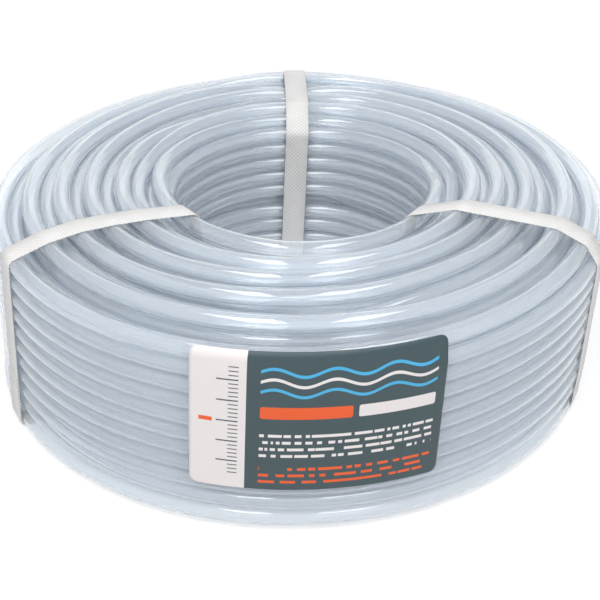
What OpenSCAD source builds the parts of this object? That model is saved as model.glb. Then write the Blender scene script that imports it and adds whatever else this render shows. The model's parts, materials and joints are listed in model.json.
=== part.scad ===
// Bound coil of clear hose for a water level: one long hose wound in layers,
// three welded straps round the ring and a paper label stuck on the front.
// Millimetres, +Z up. The label faces -Y, and the origin is on the floor under the middle of the eye.
// The hose's outer layer winds up the outside, over the top and down into the eye as one tube.
// The layers behind it are a plain core.

/* [Hose] */
// Outside diameter of the hose
hose_od = 10; // [8:0.5:12]
// Thickness of the hose's wall
hose_wall = 1; // [0.5:0.25:2]
// Length of the loose end on the outside of the coil
outer_end_l = 25; // [15:1:40]
// Length of the loose end in the eye
inner_end_l = 15; // [8:1:20]

/* [Coil] */
// Outside diameter of the coil
coil_od = 360; // [320:2:420]
// Diameter of the eye through the coil
eye_d = 150; // [120:2:190]
// Height of the coil
coil_h = 120; // [100:1:150]
// Rounding of the coil's outer top edge
outer_round = 25; // [22:1:32]
// Rounding of the coil's inner top edge
inner_round = 19; // [18:1:24]
// Rounding of the coil's lower edge in the eye
eye_foot_round = 6; // [2:0.5:10]
// Gap between one turn and the next
turn_gap = 0.7; // [0.6:0.1:2]
// Most whole turns in the outer layer
most_turns = 23; // [12:1:23]
// Angle over which each turn climbs to the next row
climb_angle = 120; // [60:15:150]
// Direction in which the outer end starts, from +X towards +Y
outer_end_az = 75; // [60:15:105]
// Direction in which the inner end stops, from +X towards +Y
inner_end_az = 270; // [240:15:285]

/* [Straps] */
// Width of a strap
strap_w = 14.5; // [8:0.5:20]
// Thickness of a strap
strap_t = 0.6; // [0.4:0.1:1.2]
// Length of the welded overlap under the coil
strap_lap = 36; // [20:1:60]
// Direction of the back strap
back_strap_az = 92; // [85:1:100]
// Direction of the left strap at the eye
left_strap_eye_az = 217; // [205:1:220]
// Direction of the left strap at the rim
left_strap_rim_az = 208; // [200:1:215]
// Direction of the right strap at the eye
right_strap_eye_az = 325; // [322:1:338]
// Direction of the right strap at the rim
right_strap_rim_az = 336; // [330:1:346]

/* [Label] */
// Width of the label laid flat
label_w = 130; // [80:1:150]
// Height of the label laid flat
label_h = 84; // [50:1:95]
// Thickness of the label
label_t = 0.25; // [0.1:0.05:0.5]
// Height of the label's lower edge above the coil's underside
label_rise = 28; // [10:1:40]
// Rounding of the label's corners
label_corner = 4; // [1:0.5:10]
// Direction of the label's middle
label_az = 273; // [260:1:285]

/* [Fits] */
// Clearance between the hose and what lies on it
fit_gap = 0.3; // [0.2:0.05:0.5]

/* [Hidden] */
$fn = 96;
rings_per_turn = 24;
tube_sides = 6;
ring_step = 360 / rings_per_turn;
chord_keep = cos(ring_step / 2);
hose_r = hose_od / 2;
bore_r = hose_r - hose_wall;
coil_r = coil_od / 2;
eye_r = eye_d / 2;
turn_pitch = hose_od + turn_gap;

// The straps lie double at their welds, so the coil's underside is two thicknesses up.
coil_z = 2 * strap_t + fit_gap;
coil_top = coil_z + coil_h;

// Middle line of the wound layer, across the coil's section
wind_out_r = coil_r - hose_r;
wind_eye_r = eye_r + hose_r;
wind_low = coil_z + hose_r;
wind_top = coil_top - hose_r;
wind_out_round = outer_round - hose_r;
wind_eye_round = inner_round - hose_r;
top_out_r = wind_out_r - wind_out_round;
top_eye_r = wind_eye_r + wind_eye_round;

// Distances along that line at which it passes from one stretch to the next
side_end = wind_top - wind_out_round - wind_low;
out_arc_end = side_end + wind_out_round * PI / 2;
top_end = out_arc_end + top_out_r - top_eye_r;
eye_arc_end = top_end + wind_eye_round * PI / 2;
eye_side_l = wind_top - wind_eye_round - wind_low;

// Turns of the wound layer: as many as fit down to two hoses above the foot of the eye
part_turn = (inner_end_az - outer_end_az) / 360;
room_turns = floor((eye_arc_end + eye_side_l - 2 * hose_od) / turn_pitch - part_turn);
wound_turns = min(most_turns, room_turns) + part_turn;
ring_count = round(wound_turns * rings_per_turn);

// The inner end leaves the wall over a third of a turn, so that its straight tip clears the core.
ease_rings = rings_per_turn / 3;
inner_tip_l = hose_od + inner_end_l;
inner_end_r = sqrt(pow(wind_eye_r + hose_r, 2) - pow(inner_tip_l, 2)) - hose_r;
inner_end_z = section_point(wound_length(ring_count))[1];

// Plain core behind the wound layer
core_out_r = wind_out_r * chord_keep - hose_r - fit_gap;
core_eye_r = wind_eye_r + hose_r + fit_gap;
core_top = wind_top - hose_r - fit_gap;
core_out_round = wind_out_round - hose_r - fit_gap;
core_eye_round = wind_eye_round - hose_r - fit_gap;
core_step_z = inner_end_z - hose_r - fit_gap;

// In the eye the flat chords of the wound layer stand inside its circle by this much.
eye_chord = wind_eye_r * (1 - chord_keep);

// How far a cut runs past the face that it cuts
cut_past = 1;

hose_colour = [0.76, 0.81, 0.87];
core_colour = [0.66, 0.72, 0.79];
strap_colour = [0.93, 0.93, 0.92];
label_colour = [0.2, 0.29, 0.31];

// Middle of the wound layer at a distance along its line: radius, height and the direction that faces out
function section_point(s) =
    s < side_end ? [wind_out_r, wind_low + s, 0] :
    s < out_arc_end ? arc_point(top_out_r, wind_out_round, (s - side_end) / wind_out_round * 180 / PI) :
    s < top_end ? [top_out_r - (s - out_arc_end), wind_top, 90] :
    s < eye_arc_end ? arc_point(top_eye_r, wind_eye_round, 90 + (s - top_end) / wind_eye_round * 180 / PI) :
    [wind_eye_r, wind_top - wind_eye_round - (s - eye_arc_end), 180];

function arc_point(mid_r, round_r, turn) =
    [mid_r + round_r * cos(turn), wind_top - round_r + round_r * sin(turn), turn];

function smooth_step(t) = t <= 0 ? 0 : t >= 1 ? 1 : t * t * (3 - 2 * t);

// Distance along the section's line at ring i: each turn lies level, then climbs one pitch at its end
function wound_length(i) =
    let (whole = floor(i / rings_per_turn))
    let (angle = (i - whole * rings_per_turn) * ring_step)
    turn_pitch * (whole + smooth_step((angle - (360 - climb_angle)) / climb_angle));

// Radius, height and facing of ring i, with the ease of the inner end
function ring_place(i) =
    let (p = section_point(wound_length(i)))
    let (ease = smooth_step((i - (ring_count - ease_rings)) / ease_rings))
    [p[0] + ease * (inner_end_r - p[0]), p[1], p[2]];

function ring_az(i) = outer_end_az + i * ring_step;

function ring_middle(i) =
    let (p = ring_place(i))
    let (a = ring_az(i))
    [p[0] * cos(a), p[0] * sin(a), p[1]];

// Direction in which the tube runs at ring i
function ring_heading(i) = [-sin(ring_az(i)), cos(ring_az(i)), 0];

// Corners of ring i, moved along the tube by shift
function ring_corners(i, shift) =
    let (p = ring_place(i))
    let (a = ring_az(i))
    [
        for (k = [0 : tube_sides - 1])
        let (turn = p[2] + k * 360 / tube_sides)
        let (r = p[0] + hose_r * cos(turn))
        [r * cos(a), r * sin(a), p[1] + hose_r * sin(turn)] + shift * ring_heading(i)
    ];

// Least distance between turns: every pair of ring middles half a turn or more apart, less the hose
function least_gap() =
    let (mids = [for (i = [0 : ring_count]) ring_middle(i)])
    min([
        for (i = [0 : ring_count - rings_per_turn / 2])
        for (j = [i + rings_per_turn / 2 : ring_count])
        norm(mids[i] - mids[j])
    ]) - hose_od;

// Flat plate in the section plane with four corner roundings: low inner, low outer, top outer, top inner
module section_block(low, high, roundings) {
    difference() {
        translate(low)
            square(high - low);
        corner_cut(low, [1, 1], roundings[0]);
        corner_cut([high[0], low[1]], [-1, 1], roundings[1]);
        corner_cut(high, [-1, -1], roundings[2]);
        corner_cut([low[0], high[1]], [1, -1], roundings[3]);
    }
}

// What a rounding takes off a corner, with side giving the way to the plate's middle
module corner_cut(corner, side, r) {
    if (r > 0)
        translate(corner)
            difference() {
                translate([side[0] > 0 ? -cut_past : -r, side[1] > 0 ? -cut_past : -r])
                    square(r + cut_past);
                translate(side * r)
                    circle(r);
            }
}

// Outline of the whole coil's section, grown by a gap
module coil_section(grow) {
    section_block(
        [eye_r - eye_chord - grow, coil_z - grow],
        [coil_r + grow, coil_top + grow],
        [eye_foot_round + grow, hose_r + grow, outer_round + grow, inner_round + grow]
    );
}

// Thin skin round the coil, from one gap to another
module coil_skin(inner_gap, outer_gap) {
    rotate_extrude()
        difference() {
            coil_section(outer_gap);
            coil_section(inner_gap);
        }
}

module inner_turns() {
    color(core_colour)
        rotate_extrude()
            union() {
                section_block([eye_r, coil_z], [core_out_r, core_step_z], [eye_foot_round, 0, 0, 0]);
                section_block(
                    [core_eye_r, coil_z], [core_out_r, core_top],
                    [0, 0, core_out_round, core_eye_round]
                );
            }
}

module outer_turns() {
    rings = concat(
        [ring_corners(0, -hose_od)],
        [for (i = [0 : ring_count]) ring_corners(i, 0)],
        [ring_corners(ring_count, hose_od)]
    );
    last = (len(rings) - 1) * tube_sides;
    sides = [
        for (i = [0 : len(rings) - 2])
        for (k = [0 : tube_sides - 1])
        let (a = i * tube_sides + k)
        let (b = i * tube_sides + (k + 1) % tube_sides)
        each [[a, b, b + tube_sides], [a, b + tube_sides, a + tube_sides]]
    ];
    start_cap = [for (k = [1 : tube_sides - 2]) [0, k + 1, k]];
    end_cap = [for (k = [1 : tube_sides - 2]) [last, last + k, last + k + 1]];
    echo(least_gap_between_turns = least_gap());
    color(hose_colour)
        polyhedron([for (ring = rings) each ring], concat(sides, start_cap, end_cap));
}

// Straight end of the hose with its bore, which carries on from the tube at ring i
module hose_end(i, way, end_l) {
    color(hose_colour)
        translate(ring_middle(i) + way * hose_od * ring_heading(i))
            rotate([0, 0, ring_az(i)])
                rotate([-90 * way, 0, 0])
                    difference() {
                        cylinder(h = end_l, r = hose_r);
                        translate([0, 0, -cut_past])
                            cylinder(h = end_l + 2 * cut_past, r = bore_r);
                    }
}

module outer_hose_end() {
    hose_end(0, -1, outer_end_l);
}

module inner_hose_end() {
    hose_end(ring_count, 1, inner_end_l);
}

// Strap round the coil's section along a straight line in plan, from the eye to the rim
module strap(eye_az, rim_az) {
    from = eye_r * [cos(eye_az), sin(eye_az), 0];
    to = coil_r * [cos(rim_az), sin(rim_az), 0];
    run = to - from;
    past = strap_w;
    color(strap_colour)
        union() {
            intersection() {
                coil_skin(fit_gap, fit_gap + strap_t);
                translate(from)
                    rotate([0, 0, atan2(run[1], run[0])])
                        translate([-past, -strap_w / 2, -past])
                            cube([norm(run) + 2 * past, strap_w, coil_top + 2 * past]);
            }
            translate((from + to) / 2)
                rotate([0, 0, atan2(run[1], run[0])])
                    translate([-strap_lap / 2, -strap_w / 2, 0])
                        cube([strap_lap, strap_w, strap_t]);
        }
}

module back_strap() {
    strap(back_strap_az, back_strap_az);
}

module left_strap() {
    strap(left_strap_eye_az, left_strap_rim_az);
}

module right_strap() {
    strap(right_strap_eye_az, right_strap_rim_az);
}

// The label lies on the outer face, and its top bends over the coil's rounded edge.
module label() {
    low = coil_z + label_rise;
    bend_z = coil_top - outer_round;
    bend_r = outer_round + fit_gap;
    over = low + label_h - bend_z;
    high = over > 0 ? bend_z + bend_r * sin(over / bend_r * 180 / PI) : low + label_h;
    half_w = coil_r * sin(label_w / 2 / coil_r * 180 / PI);
    r = label_corner;
    color(label_colour)
        intersection() {
            coil_skin(fit_gap, fit_gap + label_t);
            rotate([0, 0, label_az + 90])
                translate([0, -eye_r - outer_round, 0])
                    rotate([90, 0, 0])
                        linear_extrude(height = coil_r)
                            section_block([-half_w, low], [half_w, high], [r, r, r, r]);
        }
}

inner_turns();
outer_turns();
outer_hose_end();
inner_hose_end();
back_strap();
left_strap();
right_strap();
label();
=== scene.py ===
import json
import math

import bpy
import numpy as np
from bpy.props import FloatProperty, FloatVectorProperty, IntProperty, PointerProperty
from bpy.types import Operator, Panel, PropertyGroup
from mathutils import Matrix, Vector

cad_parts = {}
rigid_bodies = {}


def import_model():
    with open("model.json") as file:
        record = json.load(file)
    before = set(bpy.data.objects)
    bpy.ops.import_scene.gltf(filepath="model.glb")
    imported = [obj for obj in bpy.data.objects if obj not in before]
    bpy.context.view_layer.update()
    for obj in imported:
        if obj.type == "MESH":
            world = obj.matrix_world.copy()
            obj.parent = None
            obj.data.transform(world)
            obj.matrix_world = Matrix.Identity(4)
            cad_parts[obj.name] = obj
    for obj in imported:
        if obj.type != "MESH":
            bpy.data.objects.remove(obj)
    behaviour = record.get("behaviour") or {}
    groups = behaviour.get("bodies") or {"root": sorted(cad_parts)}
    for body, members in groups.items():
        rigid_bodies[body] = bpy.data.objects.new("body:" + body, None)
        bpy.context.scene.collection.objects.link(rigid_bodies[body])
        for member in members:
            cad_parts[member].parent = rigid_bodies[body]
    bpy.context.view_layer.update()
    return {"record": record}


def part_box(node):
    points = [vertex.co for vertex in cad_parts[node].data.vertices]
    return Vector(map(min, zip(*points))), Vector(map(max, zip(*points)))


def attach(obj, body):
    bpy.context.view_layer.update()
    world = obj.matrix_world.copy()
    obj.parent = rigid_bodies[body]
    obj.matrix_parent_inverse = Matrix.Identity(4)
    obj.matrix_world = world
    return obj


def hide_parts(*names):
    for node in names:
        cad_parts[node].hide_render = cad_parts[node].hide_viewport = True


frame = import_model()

bl_info = {
    "name": "Level hose coil",
    "version": (1, 0, 0),
    "blender": (4, 5, 0),
    "location": "3D View > Sidebar > Hose coil",
    "description": "Winds a coil of clear level hose, straps it, labels it and sets it on a white stage",
    "category": "Add Mesh",
}

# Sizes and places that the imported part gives
TURNS_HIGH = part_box("outer_turns")[1]
CORE_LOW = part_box("inner_turns")[0]
CUT_END_LOW, CUT_END_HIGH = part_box("outer_hose_end")
INNER_END_LOW, INNER_END_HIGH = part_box("inner_hose_end")
LABEL_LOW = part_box("label")[0]
END_BORE = next(mount for mount in frame["record"]["mounts"] if mount["name"] == "outer_end_bore")
BODY = "root"
MILLIMETRE = 0.001

# How finely the surfaces are cut
RINGS_PER_TURN = 104
TAIL_RINGS = 8
HOSE_SIDES = 16
BORE_SIDES = 10
STRAP_STEP = 0.001
STRAP_EDGE_POINTS = 4
LABEL_COLUMNS = 73
LABEL_CORNER_ROWS = 9
LABEL_ROWS = 60
HULL_DIRECTIONS = 1440

# The pieces: four lengths of one hose, in order from the eye, and what lies on them
HOSE_LENGTHS = ("innermost_turns", "inner_turns", "middle_turns", "outer_turns")
STRAPS = ("back_strap", "left_strap", "right_strap")
LABEL_PIECE = "label_sheet"
SOLID_PIECES = (*(f"{node}_band" for node in STRAPS), LABEL_PIECE)

# How the turns wander: waves in each turn, and how far each wave reaches
SEED = 3
RADIUS_WAVES = ((0.37, 0.0004), (0.83, 0.0003), (1.31, 0.0002), (2.17, 0.0001))
HEIGHT_WAVES = ((0.41, 0.0004), (0.77, 0.0003), (1.43, 0.0002), (2.33, 0.0001))

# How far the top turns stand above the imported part's, and the gap under a strap or the label
TOP_PROUD = 0.0025
CLEARANCE = 0.00015

# Where the lamps stand: near and far edge of each softbox, then sizes, places and aims
SOFTBOX_SIDES = {"left": (-0.15, -0.43), "right": (0.16, 0.53)}
SOFTBOX_LENGTH, SOFTBOX_Y, SOFTBOX_HEIGHT = 1.0, -0.55, 1.2
FILL_SIZE, FILL_PLACE, FILL_AIM = (1.8, 1.2), (0.0, -1.15, 1.35), (0.0, 0.0, 0.06)
RIM_SIZE, RIM_PLACE, RIM_AIM = (1.4, 0.4), (0.0, 1.35, 0.75), (0.0, 0.0, 0.10)
WHITE = (1.0, 1.0, 1.0, 1.0)

# The wound route, kept for the straps and the label, which lie on it
ROUTE = {}


class HoseSettings(PropertyGroup):
    """Sizes and colours of the hose and of the coil that it is wound into."""

    outside: FloatProperty(
        name="Outside diameter", description="Hose across its outside", unit="LENGTH",
        default=CUT_END_HIGH[2] - CUT_END_LOW[2])
    bore: FloatProperty(
        name="Bore", description="Hose across its bore", unit="LENGTH",
        default=2 * END_BORE["dims"]["r_mm"] * MILLIMETRE)
    coil_radius: FloatProperty(
        name="Coil radius", description="Axis to the outside of the outermost turn", unit="LENGTH",
        default=TURNS_HIGH[0])
    eye_radius: FloatProperty(
        name="Eye radius", description="Axis to the wall of the open eye", unit="LENGTH", default=0.075)
    bottom: FloatProperty(
        name="Underside", description="Height of the lowest turn's underside", unit="LENGTH",
        default=CORE_LOW[2])
    top: FloatProperty(
        name="Top", description="Height of the highest turn's top", unit="LENGTH",
        default=TURNS_HIGH[2] + TOP_PROUD)
    dome: FloatProperty(
        name="Dome", description="Fall of the top from the eye to the rim", unit="LENGTH", default=0.005)
    layers: IntProperty(
        name="Layers", description="Passes of turns from the eye to the outside", default=12)
    pitch: FloatProperty(
        name="Pitch", description="Step from one turn to the next in a layer", unit="LENGTH",
        default=0.00986)
    turns: IntProperty(
        name="Whole turns", description="Whole turns between the two ends", default=124)
    lean: FloatProperty(
        name="Lean", description="How far the top lies to the right of the underside", unit="LENGTH",
        default=0.005)
    oval: FloatProperty(
        name="Oval", description="How far the rim swells along its long way", unit="LENGTH",
        default=0.0012)
    oval_way: FloatProperty(
        name="Oval way", description="Direction of the oval's long way", subtype="ANGLE",
        default=math.radians(27.8))
    tint: FloatVectorProperty(
        name="Tint", description="Colour of the milky clear plastic", subtype="COLOR", size=3,
        default=(0.79, 0.842, 0.897))
    haze: FloatVectorProperty(
        name="Haze", description="Paler colour that drifts along the hose", subtype="COLOR", size=3,
        default=(0.805, 0.855, 0.905))
    milk: FloatVectorProperty(
        name="Milk", description="Colour of the wall of the bore", subtype="COLOR", size=3,
        default=(0.99, 0.996, 1.0))


class StrapSettings(PropertyGroup):
    """Sizes, places and colour of the three straps."""

    width: FloatProperty(name="Width", description="Strap across", unit="LENGTH", default=0.0145)
    thickness: FloatProperty(
        name="Thickness", description="Strap through", unit="LENGTH", default=0.0006)
    lap: FloatProperty(
        name="Lap", description="Length of the welded overlap under the coil", unit="LENGTH",
        default=0.036)
    back_eye: FloatProperty(
        name="Back strap", description="Direction of the back strap from the eye", subtype="ANGLE",
        default=math.radians(92))
    left_eye: FloatProperty(
        name="Left strap in the eye", description="Where the left strap meets the eye",
        subtype="ANGLE", default=math.radians(217))
    left_rim: FloatProperty(
        name="Left strap at the rim", description="Where the left strap meets the rim",
        subtype="ANGLE", default=math.radians(208))
    right_eye: FloatProperty(
        name="Right strap in the eye", description="Where the right strap meets the eye",
        subtype="ANGLE", default=math.radians(325))
    right_rim: FloatProperty(
        name="Right strap at the rim", description="Where the right strap meets the rim",
        subtype="ANGLE", default=math.radians(336))
    colour: FloatVectorProperty(
        name="Colour", description="White of the woven strap", subtype="COLOR", size=3,
        default=(0.93, 0.92, 0.915))


class LabelSettings(PropertyGroup):
    """Size, place and print colours of the label."""

    width: FloatProperty(name="Width", description="Label along the coil", unit="LENGTH", default=0.130)
    height: FloatProperty(name="Height", description="Label up the coil", unit="LENGTH", default=0.084)
    thickness: FloatProperty(name="Thickness", description="Paper", unit="LENGTH", default=0.00025)
    corner: FloatProperty(name="Corner", description="Corner radius", unit="LENGTH", default=0.004)
    middle: FloatProperty(
        name="Middle", description="Direction of the label's middle from the axis", subtype="ANGLE",
        default=math.radians(273))
    foot: FloatProperty(
        name="Foot", description="Height of the label's lower edge", unit="LENGTH", default=LABEL_LOW[2])
    field: FloatVectorProperty(
        name="Field", description="Dark teal field", subtype="COLOR", size=3,
        default=(0.035, 0.066, 0.076))
    panel: FloatVectorProperty(
        name="Panel", description="Pale panel and pale print", subtype="COLOR", size=3,
        default=(0.80, 0.75, 0.75))
    accent: FloatVectorProperty(
        name="Accent", description="Orange print", subtype="COLOR", size=3, default=(0.80, 0.10, 0.012))
    water: FloatVectorProperty(
        name="Water", description="Light blue print", subtype="COLOR", size=3,
        default=(0.06, 0.42, 0.72))


class StageSettings(PropertyGroup):
    """Camera, floor and light."""

    elevation: FloatProperty(
        name="Elevation", description="How far the camera looks down", subtype="ANGLE",
        default=math.radians(30.5))
    distance: FloatProperty(
        name="Distance", description="Camera to the point it looks at", unit="LENGTH", default=0.8)
    aim_height: FloatProperty(
        name="Aim height", description="Height that the camera looks at", unit="LENGTH", default=0.0618)
    lens: FloatProperty(name="Lens", description="Focal length in millimetres", default=78.0)
    shift: FloatVectorProperty(
        name="Shift", description="Shift of the frame to the right and up, in frames", size=2,
        default=(0.0025, -0.0745))
    floor: FloatProperty(name="Floor", description="Side of the floor", unit="LENGTH", default=6.0)
    softbox_power: FloatProperty(
        name="Softboxes", description="Watts of each overhead softbox", default=5.4)
    fill_power: FloatProperty(
        name="Fill", description="Watts of the wide lamp over the camera", default=11.0)
    rim_power: FloatProperty(
        name="Rim", description="Watts of the strip lamp behind the coil", default=1.4)
    bounces: IntProperty(
        name="Bounces", description="How often light may pass from hose to hose", default=128)
    surround: FloatProperty(name="Surround", description="Strength of the white surround", default=0.36)
    floor_glow: FloatProperty(
        name="Floor glow", description="White that the camera adds to the floor", default=0.35)
    floor_in_glass: FloatProperty(
        name="Floor in glass", description="White that glass and gloss add to the floor", default=0.36)


def smooth_step(t):
    """Rises from 0 to 1 with level ends."""
    t = np.clip(t, 0, 1)
    return t * t * (3 - 2 * t)


def averaged(values, reach):
    """Running mean along the hose, weighted by a bell reach rings to each side."""
    bell = np.hanning(2 * reach + 3)[1:-1]
    return np.convolve(np.pad(values, reach, mode="edge"), bell / bell.sum(), mode="valid")


def run_along(points):
    """Length run along a path from its first point to each point."""
    return np.concatenate([[0], np.cumsum(np.linalg.norm(np.diff(points, axis=0), axis=1))])


def normalised(vectors):
    """Vectors of length one."""
    return vectors / np.linalg.norm(vectors, axis=-1, keepdims=True)


def corner_drop(depth, width, height):
    """Fall of a corner that is a quarter of an ellipse, at a depth past where it begins."""
    share = np.clip(depth / width, 0, 1)
    return height * (1 - np.sqrt(1 - share ** 2))


def middle_radii(hose):
    """Distance from the axis to the middle of the innermost and of the outermost turn."""
    return hose.eye_radius + hose.outside / 2, hose.coil_radius - hose.outside / 2


def section_limits(r, hose):
    """Lowest and highest middle of a hose at radius r in the coil's section. The top falls from the eye
    to the rim by a power of the way outwards, and each corner is a quarter of an ellipse."""
    innermost, outermost = middle_radii(hose)
    shoulder, fall, eye_edge, foot_edge, dome_power = 0.0255, 0.021, 0.005, 0.001, 1.5
    outward = np.clip((r - innermost) / (outermost - innermost), 0, 1)
    high = hose.top - hose.outside / 2 - hose.dome * outward ** dome_power
    high = high - corner_drop(r - (outermost - shoulder), shoulder, fall)
    high = high - corner_drop(innermost + eye_edge - r, eye_edge, eye_edge)
    low = hose.bottom + hose.outside / 2
    low = low + corner_drop(r - (outermost - foot_edge), foot_edge, foot_edge)
    low = low + corner_drop(innermost + foot_edge - r, foot_edge, foot_edge)
    return low, high


def layered_turns(hose):
    """Radius and height of every ring of the hose, before it settles. The hose starts half way up the
    eye and runs up and down in passes. Each pass climbs at a steady pitch and lies a step further out.
    The last part of a turn lies level at the foot of the outside."""
    innermost, outermost = middle_radii(hose)
    upper_step = (outermost - innermost) / (hose.layers - 1)
    lower_step = (outermost - innermost) / (hose.layers - 2)
    start = (INNER_END_LOW[2] + INNER_END_HIGH[2]) / 2
    shift_below, shift_over, level_turn = 0.010, 0.012, 0.6
    radii, heights = [], []
    height = start
    for layer in range(hose.layers):
        upper = innermost + upper_step * layer
        lower = innermost + lower_step * max(layer - 1, 0)
        if layer % 2 == 0:
            target = section_limits(upper, hose)[1]
        else:
            target = section_limits(lower, hose)[0]
        rings = round(abs(target - height) / hose.pitch * RINGS_PER_TURN)
        climb = height + (target - height) * np.arange(rings) / rings
        outward = smooth_step((climb - (start - shift_below)) / shift_over)
        radii.append(lower + (upper - lower) * outward)
        heights.append(climb)
        height = target
    level = round(level_turn * RINGS_PER_TURN)
    radii.append(np.full(level, radii[-1][-1]))
    heights.append(np.full(level, target))
    return np.concatenate(radii), np.concatenate(heights)


def wander(random, rings, waves):
    """Slow sideways drift along the hose: sines of a few waves a turn, each with its own start."""
    turn = np.arange(rings) / RINGS_PER_TURN
    drift = np.zeros(rings)
    for waves_per_turn, reach in waves:
        drift += reach * np.sin(2 * np.pi * (waves_per_turn * turn + random.random()))
    return drift


def settled(r, z, hose):
    """Pushes turns apart where they lie in each other, as the hose beds down when it is wound. At each
    ring's direction from the axis, every two turns closer than a diameter part by half of what is
    missing, the moves are averaged along the hose, and each ring is drawn back a little to its place."""
    passes, share, hold = 150, 0.5, 0.02
    near, most_move, bulge = 0.99 * hose.outside, 0.001, 0.0008
    out_of_reach, never_zero = 10.0, 1e-9
    reach = round(RINGS_PER_TURN / 24)
    innermost, outermost = middle_radii(hose)
    rings = len(r)
    turns = -(-rings // RINGS_PER_TURN)
    far = out_of_reach * (1 + np.arange(turns * RINGS_PER_TURN - rings))
    same = np.arange(turns)
    r_wound, z_wound = r, z
    for _ in range(passes):
        columns_r = np.concatenate([r, far]).reshape(turns, RINGS_PER_TURN).T.astype(np.float32)
        columns_z = np.concatenate([z, far]).reshape(turns, RINGS_PER_TURN).T.astype(np.float32)
        apart_r = columns_r[:, :, None] - columns_r[:, None, :]
        apart_z = columns_z[:, :, None] - columns_z[:, None, :]
        apart = np.sqrt(apart_r ** 2 + apart_z ** 2) + never_zero
        missing = np.maximum(near - apart, 0)
        missing[:, same, same] = 0
        push = share * missing / apart
        move_r = (push * apart_r).sum(2).T.reshape(-1)[:rings]
        move_z = (push * apart_z).sum(2).T.reshape(-1)[:rings]
        r = r + averaged(np.clip(move_r, -most_move, most_move), reach) + hold * (r_wound - r)
        z = z + averaged(np.clip(move_z, -most_move, most_move), reach) + hold * (z_wound - z)
        r = np.clip(r, innermost, outermost + bulge)
        z = np.clip(z, hose.bottom + hose.outside / 2, hose.top - hose.outside / 2)
    return r, z


def wind(hose):
    """Radius, height and direction from the axis of each ring of the wound hose, from the inner end to
    the outer end. The direction falls by an even step from ring to ring."""
    r, z = layered_turns(hose)
    end_direction = math.atan2(END_BORE["axis"][0], -END_BORE["axis"][1])
    start_direction = math.atan2(INNER_END_LOW[1], INNER_END_HIGH[0]) + 2 * math.pi
    part_turn = (start_direction - end_direction) / (2 * math.pi)
    rings = round((hose.turns + part_turn) * RINGS_PER_TURN) + 1
    along = np.linspace(0, 1, rings)
    r = np.interp(along, np.linspace(0, 1, len(r)), r)
    z = np.interp(along, np.linspace(0, 1, len(z)), z)
    quarter_turn, ninth_turn = round(RINGS_PER_TURN / 4), round(RINGS_PER_TURN / 9)
    r = averaged(r, quarter_turn)
    z = averaged(z, ninth_turn)
    random = np.random.default_rng(SEED)
    r = r + wander(random, rings, RADIUS_WAVES)
    z = z + wander(random, rings, HEIGHT_WAVES)
    r, z = settled(r, z, hose)
    direction = end_direction + 2 * np.pi * (rings - 1 - np.arange(rings)) / RINGS_PER_TURN
    return r, z, direction


def slumped(points, hose):
    """The coil isn't quite true. A point moves sideways by its height from the middle, as the coil
    leans, and from or to the axis by the cosine of twice its direction, which makes the rim oval and
    not the eye."""
    middle = (hose.bottom + hose.top) / 2
    sideways = hose.lean * (points[..., 2] - middle) / (hose.top - hose.bottom)
    radius = np.hypot(points[..., 0], points[..., 1])
    direction = np.arctan2(points[..., 1], points[..., 0])
    outward = (radius - hose.eye_radius) / (hose.coil_radius - hose.eye_radius)
    swell = 1 + hose.oval * outward * np.cos(2 * (direction - hose.oval_way)) / radius
    x, y = points[..., 0] * swell + sideways, points[..., 1] * swell
    return np.stack([x, y, points[..., 2]], -1)


def tube_quads(rings, sides, first, outward):
    """Corner numbers of the quads between neighbouring rings, and each corner's ring and side."""
    ring = np.arange(rings - 1)[:, None, None]
    side = np.arange(sides)[None, :, None]
    ring_step, side_step = np.array([0, 1, 1, 0]), np.array([0, 0, 1, 1])
    rings_at, sides_at = ring + ring_step, side + side_step
    quads = first + rings_at * sides + sides_at % sides
    rings_at = np.broadcast_to(rings_at, quads.shape)
    sides_at = np.broadcast_to(sides_at, quads.shape)
    order = slice(None) if outward else slice(None, None, -1)
    return [a.reshape(-1, 4)[:, order] for a in (quads, rings_at, sides_at)]


def end_ring_triangles(outer_sides, inner_sides):
    """Triangles of the cut end between the outside's corners and the bore's. Each side of the outside
    takes the nearest corner of the bore, and where that corner changes, a triangle fills the step."""
    side = np.arange(outer_sides)
    nearest = np.round((side + 0.5) * inner_sides / outer_sides).astype(int) % inner_sides
    before = np.roll(nearest, 1)
    step = nearest != before
    outside = np.stack([side, (side + 1) % outer_sides, outer_sides + nearest], 1)
    inside = np.stack([side, outer_sides + nearest, outer_sides + before], 1)[step]
    return np.concatenate([outside, inside])


def add_piece(name, points, quads, triangles, corner_uv, smooth, materials, face_material=None):
    """Puts arrays of points, faces and corner UVs into a new mesh object at the origin."""
    mesh = bpy.data.meshes.new(name)
    corners = np.concatenate([quads.ravel(), triangles.ravel()])
    starts = np.concatenate([np.arange(len(quads)) * 4, quads.size + np.arange(len(triangles)) * 3])
    mesh.vertices.add(len(points))
    mesh.vertices.foreach_set("co", np.ascontiguousarray(points, np.float32).ravel())
    mesh.loops.add(len(corners))
    mesh.loops.foreach_set("vertex_index", corners.astype(np.int32))
    mesh.polygons.add(len(starts))
    mesh.polygons.foreach_set("loop_start", starts.astype(np.int32))
    mesh.polygons.foreach_set("use_smooth", smooth)
    for material in materials:
        mesh.materials.append(material)
    if face_material is not None:
        mesh.polygons.foreach_set("material_index", face_material.astype(np.int32))
    layer = mesh.uv_layers.new(name="surface")
    layer.uv.foreach_set("vector", np.ascontiguousarray(corner_uv, np.float32).ravel())
    mesh.update()
    if mesh.validate():
        raise RuntimeError(f"{name}: the mesh has faces that aren't valid")
    piece = bpy.data.objects.new(name, mesh)
    bpy.context.scene.collection.objects.link(piece)
    return piece


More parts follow.
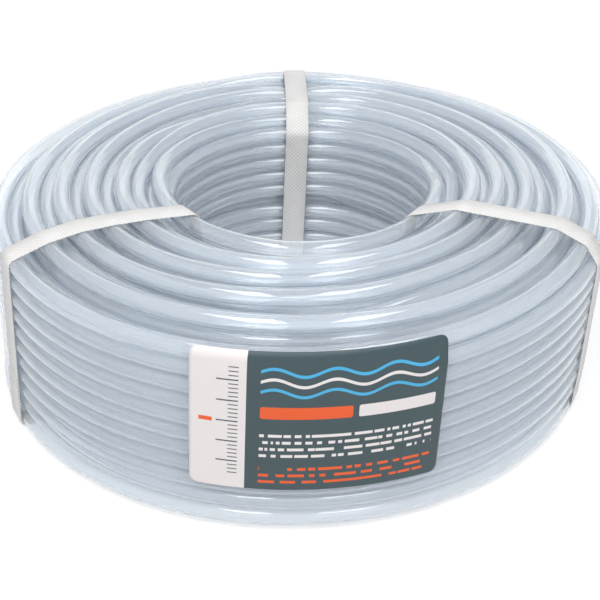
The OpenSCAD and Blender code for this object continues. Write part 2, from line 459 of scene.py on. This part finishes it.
def hidden_cuts(z, rings):
    """Rings at which one length of the hose follows another. Each lies near an even share of the rings,
    where the hose is nearest to half height, so that the join is out of sight inside the coil."""
    window = round(2.5 * RINGS_PER_TURN)
    cuts = np.linspace(0, rings - 1, len(HOSE_LENGTHS) + 1).round().astype(int)
    middle = (z.min() + z.max()) / 2
    for number in range(1, len(HOSE_LENGTHS)):
        first = cuts[number] - window
        cuts[number] = first + np.argmin(np.abs(z[first:first + 2 * window] - middle))
    return cuts


def hose_tube(name, path, hose, materials):
    """A tube round the path with its bore and two square cut ends. Each ring is a circle of the outside
    and a circle of the bore, square to the path, counted from the side vector towards the up vector."""
    along = normalised(np.gradient(path, axis=0))
    up = np.array([0.0, 0.0, 1.0])
    rise = normalised(up - along * (along @ up)[:, None])
    side = np.cross(along, rise)
    rings = len(path)

    def circle(radius, sides):
        turn = 2 * np.pi * np.arange(sides) / sides
        across = np.cos(turn)[None, :, None] * side[:, None]
        upward = np.sin(turn)[None, :, None] * rise[:, None]
        return path[:, None] + radius * (across + upward)

    outside = circle(hose.outside / 2, HOSE_SIDES).reshape(-1, 3)
    bore = circle(hose.bore / 2, BORE_SIDES).reshape(-1, 3)
    first_bore = len(outside)
    out_quads, out_ring, out_side = tube_quads(rings, HOSE_SIDES, 0, True)
    bore_quads, bore_ring, bore_side = tube_quads(rings, BORE_SIDES, first_bore, False)
    length = run_along(path)
    out_uv = np.stack([length[out_ring], out_side / HOSE_SIDES], -1).reshape(-1, 2)
    bore_uv = np.stack([length[bore_ring], bore_side / BORE_SIDES], -1).reshape(-1, 2)
    cut = end_ring_triangles(HOSE_SIDES, BORE_SIDES)
    on_bore = cut >= HOSE_SIDES
    start_cut = np.where(on_bore, first_bore + cut - HOSE_SIDES, cut)
    last_out, last_bore = (rings - 1) * HOSE_SIDES, first_bore + (rings - 1) * BORE_SIDES
    end_cut = np.where(on_bore, last_bore + cut - HOSE_SIDES, last_out + cut)[:, ::-1]
    triangles = np.concatenate([start_cut, end_cut])
    start_uv = np.zeros((start_cut.size, 2))
    end_uv = np.full((end_cut.size, 2), (length[-1], 0.0))
    quads = np.concatenate([out_quads, bore_quads])
    smooth = np.repeat([True, False], [len(quads), len(triangles)])
    in_bore = np.repeat([0, 1, 0], [len(out_quads), len(bore_quads), len(triangles)])
    points = np.concatenate([outside, bore])
    uv = np.concatenate([out_uv, bore_uv, start_uv, end_uv])
    return add_piece(name, points, quads, triangles, uv, smooth, materials, in_bore), length[-1]


def taut_loop(middles, reach):
    """A band pulled tight round circles: for every direction, the furthest circle's middle plus reach
    along that direction. The loop starts straight down and runs outwards, up, inwards and down."""
    turn = -np.pi / 2 + 2 * np.pi * np.arange(HULL_DIRECTIONS) / HULL_DIRECTIONS
    towards = np.stack([np.cos(turn), np.sin(turn)], 1)
    furthest = np.argmax(towards @ middles.T, axis=1)
    return middles[furthest] + reach * towards, towards


def strap_crossings(p_eye, heading):
    """Where the wound hose crosses the upright plane of a strap, as distance along it and height."""
    r, z, direction = ROUTE["r"], ROUTE["z"], ROUTE["direction"]
    plan = np.stack([r * np.cos(direction), r * np.sin(direction)], 1)
    square = np.array([-heading[1], heading[0]])
    off_plane = (plan - p_eye) @ square
    crossing = (off_plane[:-1] * off_plane[1:] <= 0) & (plan[:-1] @ heading > 0)
    first = np.flatnonzero(crossing)
    share = off_plane[first] / (off_plane[first] - off_plane[first + 1])
    spot = plan[first] + share[:, None] * (plan[first + 1] - plan[first])
    height = z[first] + share * (z[first + 1] - z[first])
    return np.stack([(spot - p_eye) @ heading, height], 1)


def strap_run(p_eye, heading, hose, strap):
    """A strap's middle line in its upright plane: length run, places and outward directions. It starts
    under the coil, follows the taut loop once round, and climbs outwards by a smooth step to end under
    its own start."""
    reach = hose.outside / 2 + CLEARANCE + strap.thickness / 2
    loop, towards = taut_loop(strap_crossings(p_eye, heading), reach)
    closed = np.concatenate([loop, loop[:1]])
    around = run_along(closed)
    girth = around[-1]
    underside_end, ramp, seam_gap = -0.9, 0.012, 0.00004
    start = around[np.argmax(towards[:, 1] > underside_end)] / 2
    rings = int((girth + strap.lap) / STRAP_STEP)
    along = start + (girth + strap.lap) * np.arange(rings) / (rings - 1)
    spot = np.stack([np.interp(along % girth, around, closed[:, k]) for k in (0, 1)], 1)
    ahead = normalised(np.gradient(spot, axis=0))
    outward = np.stack([ahead[:, 1], -ahead[:, 0]], 1)
    over = smooth_step((along - start - girth + ramp) / ramp) * (strap.thickness + seam_gap)
    return along - start, spot + over[:, None] * outward, outward


def strap_band(name, eye_direction, rim_direction, hose, strap, material):
    """A flat strap with round edges, pulled tight round the coil's section at one place. Its profile is
    carried along its middle line, and every point across it keeps that line's distance from the axis."""
    p_eye = hose.eye_radius * np.array([math.cos(eye_direction), math.sin(eye_direction)])
    p_rim = hose.coil_radius * np.array([math.cos(rim_direction), math.sin(rim_direction)])
    heading = normalised(p_rim - p_eye)
    square = np.array([-heading[1], heading[0]])
    along, spot, outward = strap_run(p_eye, heading, hose, strap)
    half_w, half_t = strap.width / 2, strap.thickness / 2
    bend = np.pi * (np.arange(STRAP_EDGE_POINTS) + 0.5) / STRAP_EDGE_POINTS - np.pi / 2
    right = np.stack([half_w - half_t + half_t * np.cos(bend), half_t * np.sin(bend)], 1)
    profile = np.concatenate([right, -right])
    rings, sides = len(spot), len(profile)
    distance = spot[:, None, 0] + profile[None, :, 1] * outward[:, None, 0]
    height = spot[:, None, 1] + profile[None, :, 1] * outward[:, None, 1]
    middle = p_eye + distance[..., None] * heading
    plan = middle + profile[None, :, :1] * square
    plan = normalised(plan) * np.linalg.norm(middle, axis=-1, keepdims=True)
    points = slumped(np.concatenate([plan, height[..., None]], -1), hose).reshape(-1, 3)
    quads, ring_at, side_at = tube_quads(rings, sides, 0, True)
    across = (profile[:, 0] + half_w)[side_at % sides]
    uv = np.stack([along[ring_at], across], -1).reshape(-1, 2)
    fan = np.stack([np.zeros(sides - 2, int), np.arange(1, sides - 1), np.arange(2, sides)], 1)
    triangles = np.concatenate([fan, (rings - 1) * sides + fan[:, ::-1]])
    cut_uv = np.zeros((triangles.size, 2))
    smooth = np.repeat([True, False], [len(quads), len(triangles)])
    return add_piece(name, points, quads, triangles, np.concatenate([uv, cut_uv]), smooth, [material])


def label_rows(label):
    """Heights on the flat label from its foot, with close rows at the round corners, and the half
    width that the label has at each."""
    bend = np.linspace(0, np.pi / 2, LABEL_CORNER_ROWS)
    low = label.corner * (1 - np.cos(bend))
    plain = np.linspace(label.corner, label.height - label.corner, LABEL_ROWS)[1:-1]
    rows = np.concatenate([low, plain, label.height - low[::-1]])
    into_corner = np.maximum(label.corner - np.minimum(rows, label.height - rows), 0)
    return rows, label.width / 2 - corner_drop(into_corner, label.corner, label.corner)


def label_profiles(rows, stand_off, hose, label):
    """Radius and height of the label's rows at the ring directions near its middle. Each profile is a
    band pulled tight over the outer turns there, followed from the label's foot upwards. Also gives the
    number of directions to each side, their step, and the middle one's turn from the label's middle."""
    r, z, direction = ROUTE["r"], ROUTE["z"], ROUTE["direction"]
    tenth_turn, outer_face = round(RINGS_PER_TURN / 10), 0.9 * hose.coil_radius
    step = 2 * np.pi / RINGS_PER_TURN
    past_middle = direction - label.middle
    ring_column = np.round(past_middle / step).astype(int)
    profiles = []
    for column in range(-tenth_turn, tenth_turn + 1):
        here = (ring_column - column) % RINGS_PER_TURN == 0
        loop, _ = taut_loop(np.stack([r[here], z[here]], 1), hose.outside / 2 + stand_off)
        outer = loop[:HULL_DIRECTIONS // 2]
        run = run_along(outer)
        side = np.flatnonzero(outer[:, 0] > outer_face)[0]
        foot = run[side] + np.interp(label.foot, outer[side:, 1], run[side:] - run[side])
        profiles.append(np.stack([np.interp(foot + rows, run, outer[:, k]) for k in (0, 1)], 1))
    return np.array(profiles), tenth_turn, step, (past_middle % (2 * np.pi)).min()


def label_sheet(name, hose, label, materials):
    """A thin sheet stuck round the outer face. Its front is drawn between the profiles by each point's
    direction from the axis, and its back lies a paper's thickness behind, square to the front."""
    rows, half_width = label_rows(label)
    stand_off = CLEARANCE + label.thickness
    profiles, reach, step, offset = label_profiles(rows, stand_off, hose, label)
    sideways = np.linspace(-1, 1, LABEL_COLUMNS)[None, :] * half_width[:, None]
    turned = sideways / (hose.coil_radius + stand_off)
    place = (turned - offset) / step + reach
    left = np.clip(np.floor(place).astype(int), 0, 2 * reach - 1)
    share = (place - left)[..., None]
    row = np.arange(len(rows))[:, None]
    section = profiles[left, row] * (1 - share) + profiles[left + 1, row] * share
    radius, height = section[..., 0], section[..., 1]
    angle = label.middle + turned
    front = slumped(np.stack([radius * np.cos(angle), radius * np.sin(angle), height], -1), hose)
    face_out = normalised(np.cross(np.gradient(front, axis=1), np.gradient(front, axis=0)))
    back = front - label.thickness * face_out
    number = np.arange(sideways.size).reshape(sideways.shape)
    quad = np.stack([number[:-1, :-1], number[:-1, 1:], number[1:, 1:], number[1:, :-1]], -1)
    quad = quad.reshape(-1, 4)
    rim = np.concatenate([number[0, :-1], number[:-1, -1], number[-1, :0:-1], number[:0:-1, 0]])
    following = np.roll(rim, -1)
    behind = sideways.size
    edge = np.stack([rim, rim + behind, following + behind, following], 1)
    quads = np.concatenate([quad, quad[:, ::-1] + behind, edge])
    points = np.concatenate([front.reshape(-1, 3), back.reshape(-1, 3)])
    flat = np.stack(np.broadcast_arrays(sideways, rows[:, None] - label.height / 2), -1)
    flat = np.concatenate([flat.reshape(-1, 2)] * 2)
    smooth = np.repeat([True, False], [2 * len(quad), len(edge)])
    paper = np.repeat([0, 1], [len(quad), len(quad) + len(edge)])
    no_triangles = np.zeros((0, 3), int)
    uv = flat[quads].reshape(-1, 2)
    return add_piece(name, points, quads, no_triangles, uv, smooth, materials, paper)


def add_node(tree, kind, **settings):
    """A shader node with its properties set."""
    node = tree.nodes.new(kind)
    for key, value in settings.items():
        setattr(node, key, value)
    return node


def feed(tree, socket, source):
    """Links an output to a socket, or sets the socket to a plain value."""
    if isinstance(source, bpy.types.NodeSocket):
        tree.links.new(source, socket)
    else:
        socket.default_value = source


def feed_named(tree, node, **sources):
    """Feeds a node's named sockets. An underscore in a name stands for a space."""
    for key, source in sources.items():
        feed(tree, node.inputs[key.replace("_", " ")], source)
    return node


def maths(tree, operation, *inputs):
    """A Math node on values or outputs."""
    node = add_node(tree, "ShaderNodeMath", operation=operation)
    for socket, source in zip(node.inputs, inputs):
        feed(tree, socket, source)
    return node.outputs[0]


def ranged(tree, value, **limits):
    """A Map Range node on an output, with the limits that aren't 0 and 1."""
    node = add_node(tree, "ShaderNodeMapRange")
    return feed_named(tree, node, Value=value, **limits).outputs["Result"]


def joined(tree, x, y, z=0.0):
    """A vector of three values or outputs."""
    return feed_named(tree, add_node(tree, "ShaderNodeCombineXYZ"), X=x, Y=y, Z=z).outputs[0]


def mixed(tree, share, first, second):
    """A colour mix of two colours or outputs."""
    node = add_node(tree, "ShaderNodeMix", data_type="RGBA")
    feed(tree, node.inputs["Factor"], share)
    feed(tree, node.inputs[6], first)
    feed(tree, node.inputs[7], second)
    return node.outputs[2]


def opaque(colour, share=1.0):
    """A share of a colour, with its alpha."""
    return (*(share * c for c in colour), 1.0)


def new_group(name, inputs, output):
    """A shader node group with number inputs, one of them a place, and its input and output nodes."""
    tree = bpy.data.node_groups.new(name, "ShaderNodeTree")
    for label in inputs:
        kind = "NodeSocketVector" if label == "Place" else "NodeSocketFloat"
        tree.interface.new_socket(label, in_out="INPUT", socket_type=kind)
    tree.interface.new_socket(output, in_out="OUTPUT", socket_type="NodeSocketFloat")
    return tree, add_node(tree, "NodeGroupInput").outputs, add_node(tree, "NodeGroupOutput").inputs


def place_group(tree, group, **inputs):
    """A group placed in a material with its own values, by its one output."""
    return feed_named(tree, add_node(tree, "ShaderNodeGroup", node_tree=group), **inputs).outputs[0]


def drift_group():
    """Cloudy variation from 0 to 1: noise of one scale stretched over its middle range."""
    name = "Drift"
    if name in bpy.data.node_groups:
        return bpy.data.node_groups[name]
    tree, given, out = new_group(name, ("Place", "Scale"), "Amount")
    noise = add_node(tree, "ShaderNodeTexNoise")
    feed_named(tree, noise, Vector=given["Place"], Scale=given["Scale"], Detail=3.0)
    feed(tree, out["Amount"], ranged(tree, noise.outputs["Fac"], From_Min=0.3, From_Max=0.7))
    return tree


def block_group():
    """A printed block with round corners: 1 inside, 0 outside, from the distance to its outline."""
    name = "Printed block"
    if name in bpy.data.node_groups:
        return bpy.data.node_groups[name]
    ways = (("Across", "Middle across", "Half width"), ("Up", "Middle up", "Half height"))
    tree, given, out = new_group(name, (*ways[0], *ways[1], "Corner"), "Mask")
    past = []
    for place, middle, half in ways:
        off = maths(tree, "SUBTRACT", given[place], given[middle])
        inner = maths(tree, "SUBTRACT", given[half], given["Corner"])
        past.append(maths(tree, "SUBTRACT", maths(tree, "ABSOLUTE", off), inner))
    squares = [maths(tree, "POWER", maths(tree, "MAXIMUM", p, 0.0), 2.0) for p in past]
    outer = maths(tree, "SQRT", maths(tree, "ADD", *squares))
    within = maths(tree, "MINIMUM", maths(tree, "MAXIMUM", *past), 0.0)
    distance = maths(tree, "SUBTRACT", maths(tree, "ADD", outer, within), given["Corner"])
    soft_edge = 0.00008
    feed(tree, out["Mask"], ranged(tree, distance, From_Min=soft_edge, From_Max=-soft_edge))
    return tree


def new_material(name):
    """An empty node material with its Principled shader."""
    material = bpy.data.materials.new(name)
    material.use_nodes = True
    tree = material.node_tree
    return material, tree, tree.nodes["Principled BSDF"]


def surface_place(tree):
    """The piece's own surface coordinates, in metres along and across, as three outputs."""
    uv = add_node(tree, "ShaderNodeUVMap", uv_map="surface")
    split = add_node(tree, "ShaderNodeSeparateXYZ")
    feed(tree, split.inputs[0], uv.outputs["UV"])
    return uv.outputs["UV"], split.outputs["X"], split.outputs["Y"]


def hose_material(hose):
    """Clear, slightly milky soft plastic: a pale see-through body with a glossy skin, a haze that drifts
    along the hose and faint lines drawn along it by the die."""
    material, tree, shader = new_material("clear_hose")
    _, along, around = surface_place(tree)
    turn = maths(tree, "MULTIPLY", around, 2 * math.pi)

    def wrapped(stretch):
        far = maths(tree, "MULTIPLY", along, stretch)
        return joined(tree, far, maths(tree, "SINE", turn), maths(tree, "COSINE", turn))

    haze = place_group(tree, drift_group(), Place=wrapped(4.0), Scale=1.7)
    lines = place_group(tree, drift_group(), Place=wrapped(0.6), Scale=5.0)
    feed_named(tree, shader, Base_Color=mixed(tree, haze, opaque(hose.tint), opaque(hose.haze)),
               Roughness=ranged(tree, lines, To_Min=0.03, To_Max=0.06), IOR=1.12,
               Transmission_Weight=0.80, Coat_Weight=1.0, Coat_Roughness=0.03, Coat_IOR=1.7)
    return material


def bore_material(hose):
    """The wall of the bore, a little milkier than the outside."""
    material, tree, shader = new_material("hose_bore")
    feed_named(tree, shader, Base_Color=opaque(hose.milk), Roughness=0.08, IOR=1.12,
               Transmission_Weight=0.96)
    return material


def strap_material(strap):
    """White woven band: crossed ribs a little under two millimetres apart, with painted shade in the
    hollows between the ribs, and soiled a little unevenly.
    """
    material, tree, shader = new_material("white_strap")
    uv, along, across = surface_place(tree)
    rib, weave_share, cloud_share, dark = 0.0026, 0.75, 0.25, 0.68
    ribs = []
    for way in ("ADD", "SUBTRACT"):
        turn = maths(tree, "MULTIPLY", maths(tree, way, along, across), math.pi / rib)
        ribs.append(maths(tree, "ABSOLUTE", maths(tree, "SINE", turn)))
    weave = maths(tree, "MULTIPLY", *ribs)
    cloud = place_group(tree, drift_group(), Place=uv, Scale=60.0)
    # Painted shade: the colour darkens where the ribs' bump height is low, in the weave's hollows. The
    # cloud share is uneven soiling.
    painted_weave_shade_and_soil = maths(tree, "ADD", maths(tree, "MULTIPLY", weave, weave_share),
                  maths(tree, "MULTIPLY", cloud, cloud_share))
    bump = add_node(tree, "ShaderNodeBump")
    feed_named(tree, bump, Strength=0.8, Distance=0.0003, Height=weave)
    feed_named(tree, shader,
               Base_Color=mixed(tree, painted_weave_shade_and_soil, opaque(strap.colour, dark), opaque(strap.colour)),
               Roughness=ranged(tree, cloud, To_Min=0.45, To_Max=0.6), Normal=bump.outputs["Normal"])
    return material


def label_print(label):
    """Printed front of the label: a dark field, a pale panel with a plain scale of ticks, a band of
    waves, two plain bars and rows of short dashes. Each is inked over what is there before."""
    material, tree, shader = new_material("label_print")
    uv, across, up = surface_place(tree)
    field, panel = opaque(label.field), opaque(label.panel)
    accent, water = opaque(label.accent), opaque(label.water)
    colour = field

    def block(x, y, half_width, half_height, corner=0.0):
        return place_group(tree, block_group(), Across=across, Up=up, Middle_across=x, Middle_up=y,
                           Half_width=half_width, Half_height=half_height, Corner=corner)

    def ink(tone, *masks):
        nonlocal colour
        mask = masks[0] if len(masks) == 1 else maths(tree, "MULTIPLY", *masks)
        colour = mixed(tree, mask, colour, tone)

    panel_edge, tick_gap, scale_half = -0.036, 0.004, 0.034
    ink(panel, block(panel_edge - label.width / 4, 0.0, label.width / 4, label.height))
    for pitch, half_line, half_tick in ((0.0025, 0.0003, 0.0025), (0.0125, 0.0004, 0.0055)):
        line = maths(tree, "LESS_THAN", maths(tree, "PINGPONG", up, pitch / 2), half_line)
        ink(field, line, block(panel_edge - tick_gap - half_tick, 0.0, half_tick, scale_half))
    ink(accent, block(panel_edge - 0.0205, 0.0, 0.0035, 0.0012))

    print_middle, print_half = 0.0155, 0.0445
    wave_length, wave_height, half_line, wave_room = 0.030, 0.0022, 0.0009, 0.006
    wave = maths(tree, "SINE", maths(tree, "MULTIPLY", across, 2 * math.pi / wave_length))
    wave = maths(tree, "MULTIPLY", wave, wave_height)
    for height, tone in ((0.0305, water), (0.0245, panel), (0.0185, water)):
        off = maths(tree, "SUBTRACT", maths(tree, "SUBTRACT", up, height), wave)
        line = maths(tree, "LESS_THAN", maths(tree, "ABSOLUTE", off), half_line)
        ink(tone, line, block(print_middle, height, print_half, wave_room))

    bar_up, bar_half, bar_corner = 0.0065, 0.0036, 0.0012
    ink(accent, block(-0.006, bar_up, 0.0230, bar_half, bar_corner))
    ink(panel, block(0.040, bar_up, 0.0200, bar_half, bar_corner))

    row_pitch, row_ink, dash, row_jump, gap_level = 0.0042, 0.42, 0.0060, 7.3, 0.42
    rows = maths(tree, "DIVIDE", up, row_pitch)
    in_row = maths(tree, "LESS_THAN", maths(tree, "FRACT", rows), row_ink)
    own_row = maths(tree, "MULTIPLY", maths(tree, "FLOOR", rows), row_jump)
    cells = add_node(tree, "ShaderNodeTexNoise")
    feed_named(tree, cells, Vector=joined(tree, maths(tree, "DIVIDE", across, dash), own_row),
               Scale=2.2, Detail=0.0)
    inked = maths(tree, "GREATER_THAN", cells.outputs["Fac"], gap_level)
    dashes = maths(tree, "MULTIPLY", in_row, inked)
    for tone, middle, half in ((panel, -0.0135, 0.0090), (accent, -0.0315, 0.0062)):
        ink(tone, dashes, block(print_middle, middle, print_half, half))

    cloud = place_group(tree, drift_group(), Place=uv, Scale=90.0)
    feed_named(tree, shader, Base_Color=colour, Roughness=ranged(tree, cloud, To_Min=0.38, To_Max=0.50))
    return material


def label_paper(label):
    """Plain paper of the label's back and edges."""
    material, tree, shader = new_material("label_paper")
    uv, _, _ = surface_place(tree)
    fibre = place_group(tree, drift_group(), Place=uv, Scale=700.0)
    dark = 0.93
    feed_named(tree, shader, Roughness=0.8,
               Base_Color=mixed(tree, fibre, opaque(label.panel, dark), opaque(label.panel)))
    return material


def ray_kinds(tree):
    """1 for rays straight from the camera, and 1 for rays by reflection or through glass."""
    path = add_node(tree, "ShaderNodeLightPath")
    bent = maths(tree, "MAXIMUM", path.outputs["Is Glossy Ray"], path.outputs["Is Transmission Ray"])
    return path.outputs["Is Camera Ray"], bent


def floor_material(stage):
    """White floor that keeps the shadow: most of its white is lit, and the rest is its own glow, which
    only the camera, glass and gloss meet, each with its own strength. Away from the coil, where the
    lamps don't reach, the glow rises to white."""
    material, tree, shader = new_material("white_floor")
    rise_from, rise_to = 0.4, 1.6
    straight, bent = ray_kinds(tree)
    near = maths(tree, "ADD", maths(tree, "MULTIPLY", straight, stage.floor_glow),
                 maths(tree, "MULTIPLY", bent, stage.floor_in_glass))
    place = add_node(tree, "ShaderNodeTexCoord")
    distance = add_node(tree, "ShaderNodeVectorMath", operation="LENGTH")
    feed(tree, distance.inputs[0], place.outputs["Object"])
    glow = ranged(tree, distance.outputs["Value"], From_Min=rise_from, From_Max=rise_to, To_Min=near,
                  To_Max=maths(tree, "MAXIMUM", straight, bent))
    feed_named(tree, shader, Base_Color=opaque((0.8, 0.8, 0.8)), Roughness=0.9, Specular_IOR_Level=0.0,
               Emission_Color=WHITE, Emission_Strength=glow)
    return material


def set_camera(scene, stage):
    """The camera in front of the coil, looking down at a point on its axis."""
    camera = bpy.data.cameras.new("camera")
    camera.sensor_width = 36.0
    camera.lens = stage.lens
    camera.shift_x, camera.shift_y = stage.shift
    holder = bpy.data.objects.new("camera", camera)
    scene.collection.objects.link(holder)
    holder.location = (0.0, -stage.distance * math.cos(stage.elevation),
                       stage.aim_height + stage.distance * math.sin(stage.elevation))
    holder.rotation_euler = (math.pi / 2 - stage.elevation, 0.0, 0.0)
    scene.camera = holder


def add_lamp(name, size, power, place, aim):
    """A rectangular softbox that faces a point."""
    lamp = bpy.data.lights.new(name, "AREA")
    lamp.shape = "RECTANGLE"
    lamp.size, lamp.size_y = size
    lamp.energy = power
    holder = bpy.data.objects.new(name, lamp)
    bpy.context.scene.collection.objects.link(holder)
    holder.location = place
    away = np.subtract(place, aim)
    flat = math.hypot(away[0], away[1])
    holder.rotation_euler = (math.atan2(flat, away[2]), 0.0, math.atan2(away[0], -away[1]))
    return holder


def set_lamps(scene, stage):
    """Two long softboxes overhead, a wide fill over the camera and a strip behind. Gloss doesn't show
    the fill, and it shines through the clear hose: only the straps, the label and the floor stop it."""
    for side, (near, far) in SOFTBOX_SIDES.items():
        middle = (near + far) / 2
        add_lamp(f"softbox_{side}", (abs(far - near), SOFTBOX_LENGTH), stage.softbox_power,
                 (middle, SOFTBOX_Y, SOFTBOX_HEIGHT), (middle, SOFTBOX_Y, 0.0))
    fill = add_lamp("fill", FILL_SIZE, stage.fill_power, FILL_PLACE, FILL_AIM)
    fill.visible_glossy = False
    stops = bpy.data.collections.new("stops_fill")
    for name in (*SOLID_PIECES, "floor"):
        stops.objects.link(scene.objects[name])
    fill.light_linking.blocker_collection = stops
    add_lamp("rim", RIM_SIZE, stage.rim_power, RIM_PLACE, RIM_AIM)


def set_surround(scene, stage):
    """A plain surround that is white to the camera, glass and gloss, and lights the coil less."""
    world = bpy.data.worlds.new("surround")
    scene.world = world
    world.use_nodes = True
    tree = world.node_tree
    seen = maths(tree, "MAXIMUM", *ray_kinds(tree))
    brighter = maths(tree, "MULTIPLY", seen, 1.0 - stage.surround)
    feed_named(tree, tree.nodes["Background"], Color=WHITE,
               Strength=maths(tree, "ADD", brighter, stage.surround))


class HOSECOIL_OT_wind_hose(Operator):
    """Winds the whole hose into the coil, as four lengths that follow each other"""

    bl_idname = "hosecoil.wind_hose"
    bl_label = "Wind hose"

    def execute(self, context):
        hose = context.scene.coil_hose
        r, z, direction = wind(hose)
        ROUTE.update(r=r, z=z, direction=direction)
        path = np.stack([r * np.cos(direction), r * np.sin(direction), z], 1)
        tail_out = np.array(END_BORE["axis"])
        tail_length = hose.outside + END_BORE["dims"]["length_mm"] * MILLIMETRE
        tail = path[-1] + tail_out * np.linspace(0, tail_length, TAIL_RINGS)[1:, None]
        path = slumped(np.concatenate([path, tail]), hose)
        materials = [hose_material(hose), bore_material(hose)]
        cuts = hidden_cuts(z, len(path))
        for number, name in enumerate(HOSE_LENGTHS):
            points = path[cuts[number]:cuts[number + 1] + 1]
            piece, length = hose_tube(f"hose_{name}", points, hose, materials)
            last = number == len(HOSE_LENGTHS) - 1
            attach(piece, BODY)
            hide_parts("outer_turns" if last else "inner_turns")
            if number == 0:
                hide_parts("inner_hose_end")
            if last:
                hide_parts("outer_hose_end")
        return {"FINISHED"}


class HOSECOIL_OT_wrap_straps(Operator):
    """Pulls the three straps tight round the coil"""

    bl_idname = "hosecoil.wrap_straps"
    bl_label = "Wrap straps"

    def execute(self, context):
        if not ROUTE:
            raise RuntimeError("wind the hose before the straps")
        hose, strap = context.scene.coil_hose, context.scene.coil_strap
        material = strap_material(strap)
        ways = ((strap.back_eye, strap.back_eye), (strap.left_eye, strap.left_rim),
                (strap.right_eye, strap.right_rim))
        for node, (eye_direction, rim_direction) in zip(STRAPS, ways):
            piece = strap_band(f"{node}_band", eye_direction, rim_direction, hose, strap, material)
            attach(piece, BODY)
            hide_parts(node)
        return {"FINISHED"}


class HOSECOIL_OT_stick_label(Operator):
    """Sticks the printed label round the front of the coil"""

    bl_idname = "hosecoil.stick_label"
    bl_label = "Stick label"

    def execute(self, context):
        if not ROUTE:
            raise RuntimeError("wind the hose before the label")
        hose, label = context.scene.coil_hose, context.scene.coil_label
        piece = label_sheet(LABEL_PIECE, hose, label, [label_print(label), label_paper(label)])
        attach(piece, BODY)
        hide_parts("label")
        return {"FINISHED"}


class HOSECOIL_OT_set_stage(Operator):
    """Sets the camera, the white floor and the soft light"""

    bl_idname = "hosecoil.set_stage"
    bl_label = "Set stage"

    def execute(self, context):
        scene, stage = context.scene, context.scene.coil_stage
        missing = [name for name in SOLID_PIECES if name not in scene.objects]
        if missing:
            raise RuntimeError(f"make {', '.join(missing)} before the stage")
        set_camera(scene, stage)
        half = stage.floor / 2
        corners = half * np.array([(-1, -1, 0), (1, -1, 0), (1, 1, 0), (-1, 1, 0)])
        floor = add_piece("floor", corners, np.array([[0, 1, 2, 3]]), np.zeros((0, 3), int),
                          corners[:, :2], np.zeros(1, bool), [floor_material(stage)])
        set_lamps(scene, stage)
        set_surround(scene, stage)
        scene.view_settings.view_transform = "Standard"
        for kind in ("max", "transmission", "glossy", "diffuse"):
            setattr(scene.cycles, f"{kind}_bounces", stage.bounces)
        return {"FINISHED"}


class HOSECOIL_PT_parts(Panel):
    """Lists the steps that build the coil"""

    bl_idname = "HOSECOIL_PT_parts"
    bl_label = "Hose coil"
    bl_space_type = "VIEW_3D"
    bl_region_type = "UI"
    bl_category = "Hose coil"

    def draw(self, context):
        for step in STEPS:
            self.layout.operator(step.bl_idname)


STEPS = (HOSECOIL_OT_wind_hose, HOSECOIL_OT_wrap_straps, HOSECOIL_OT_stick_label, HOSECOIL_OT_set_stage)
GROUPS = {"coil_hose": HoseSettings, "coil_strap": StrapSettings, "coil_label": LabelSettings,
          "coil_stage": StageSettings}
CLASSES = (*GROUPS.values(), *STEPS, HOSECOIL_PT_parts)


def register():
    """Makes the settings, the steps and the panel known to Blender."""
    for each in CLASSES:
        bpy.utils.register_class(each)
    for name, group in GROUPS.items():
        setattr(bpy.types.Scene, name, PointerProperty(type=group))


def unregister():
    """Takes them out again."""
    for name in GROUPS:
        delattr(bpy.types.Scene, name)
    for each in reversed(CLASSES):
        bpy.utils.unregister_class(each)


def main():
    """Builds the coil piece by piece."""
    register()
    bpy.ops.hosecoil.wind_hose()
    bpy.ops.hosecoil.wrap_straps()
    bpy.ops.hosecoil.stick_label()
    bpy.ops.hosecoil.set_stage()
    bpy.context.view_layer.update()


if __name__ == "__main__":
    main()
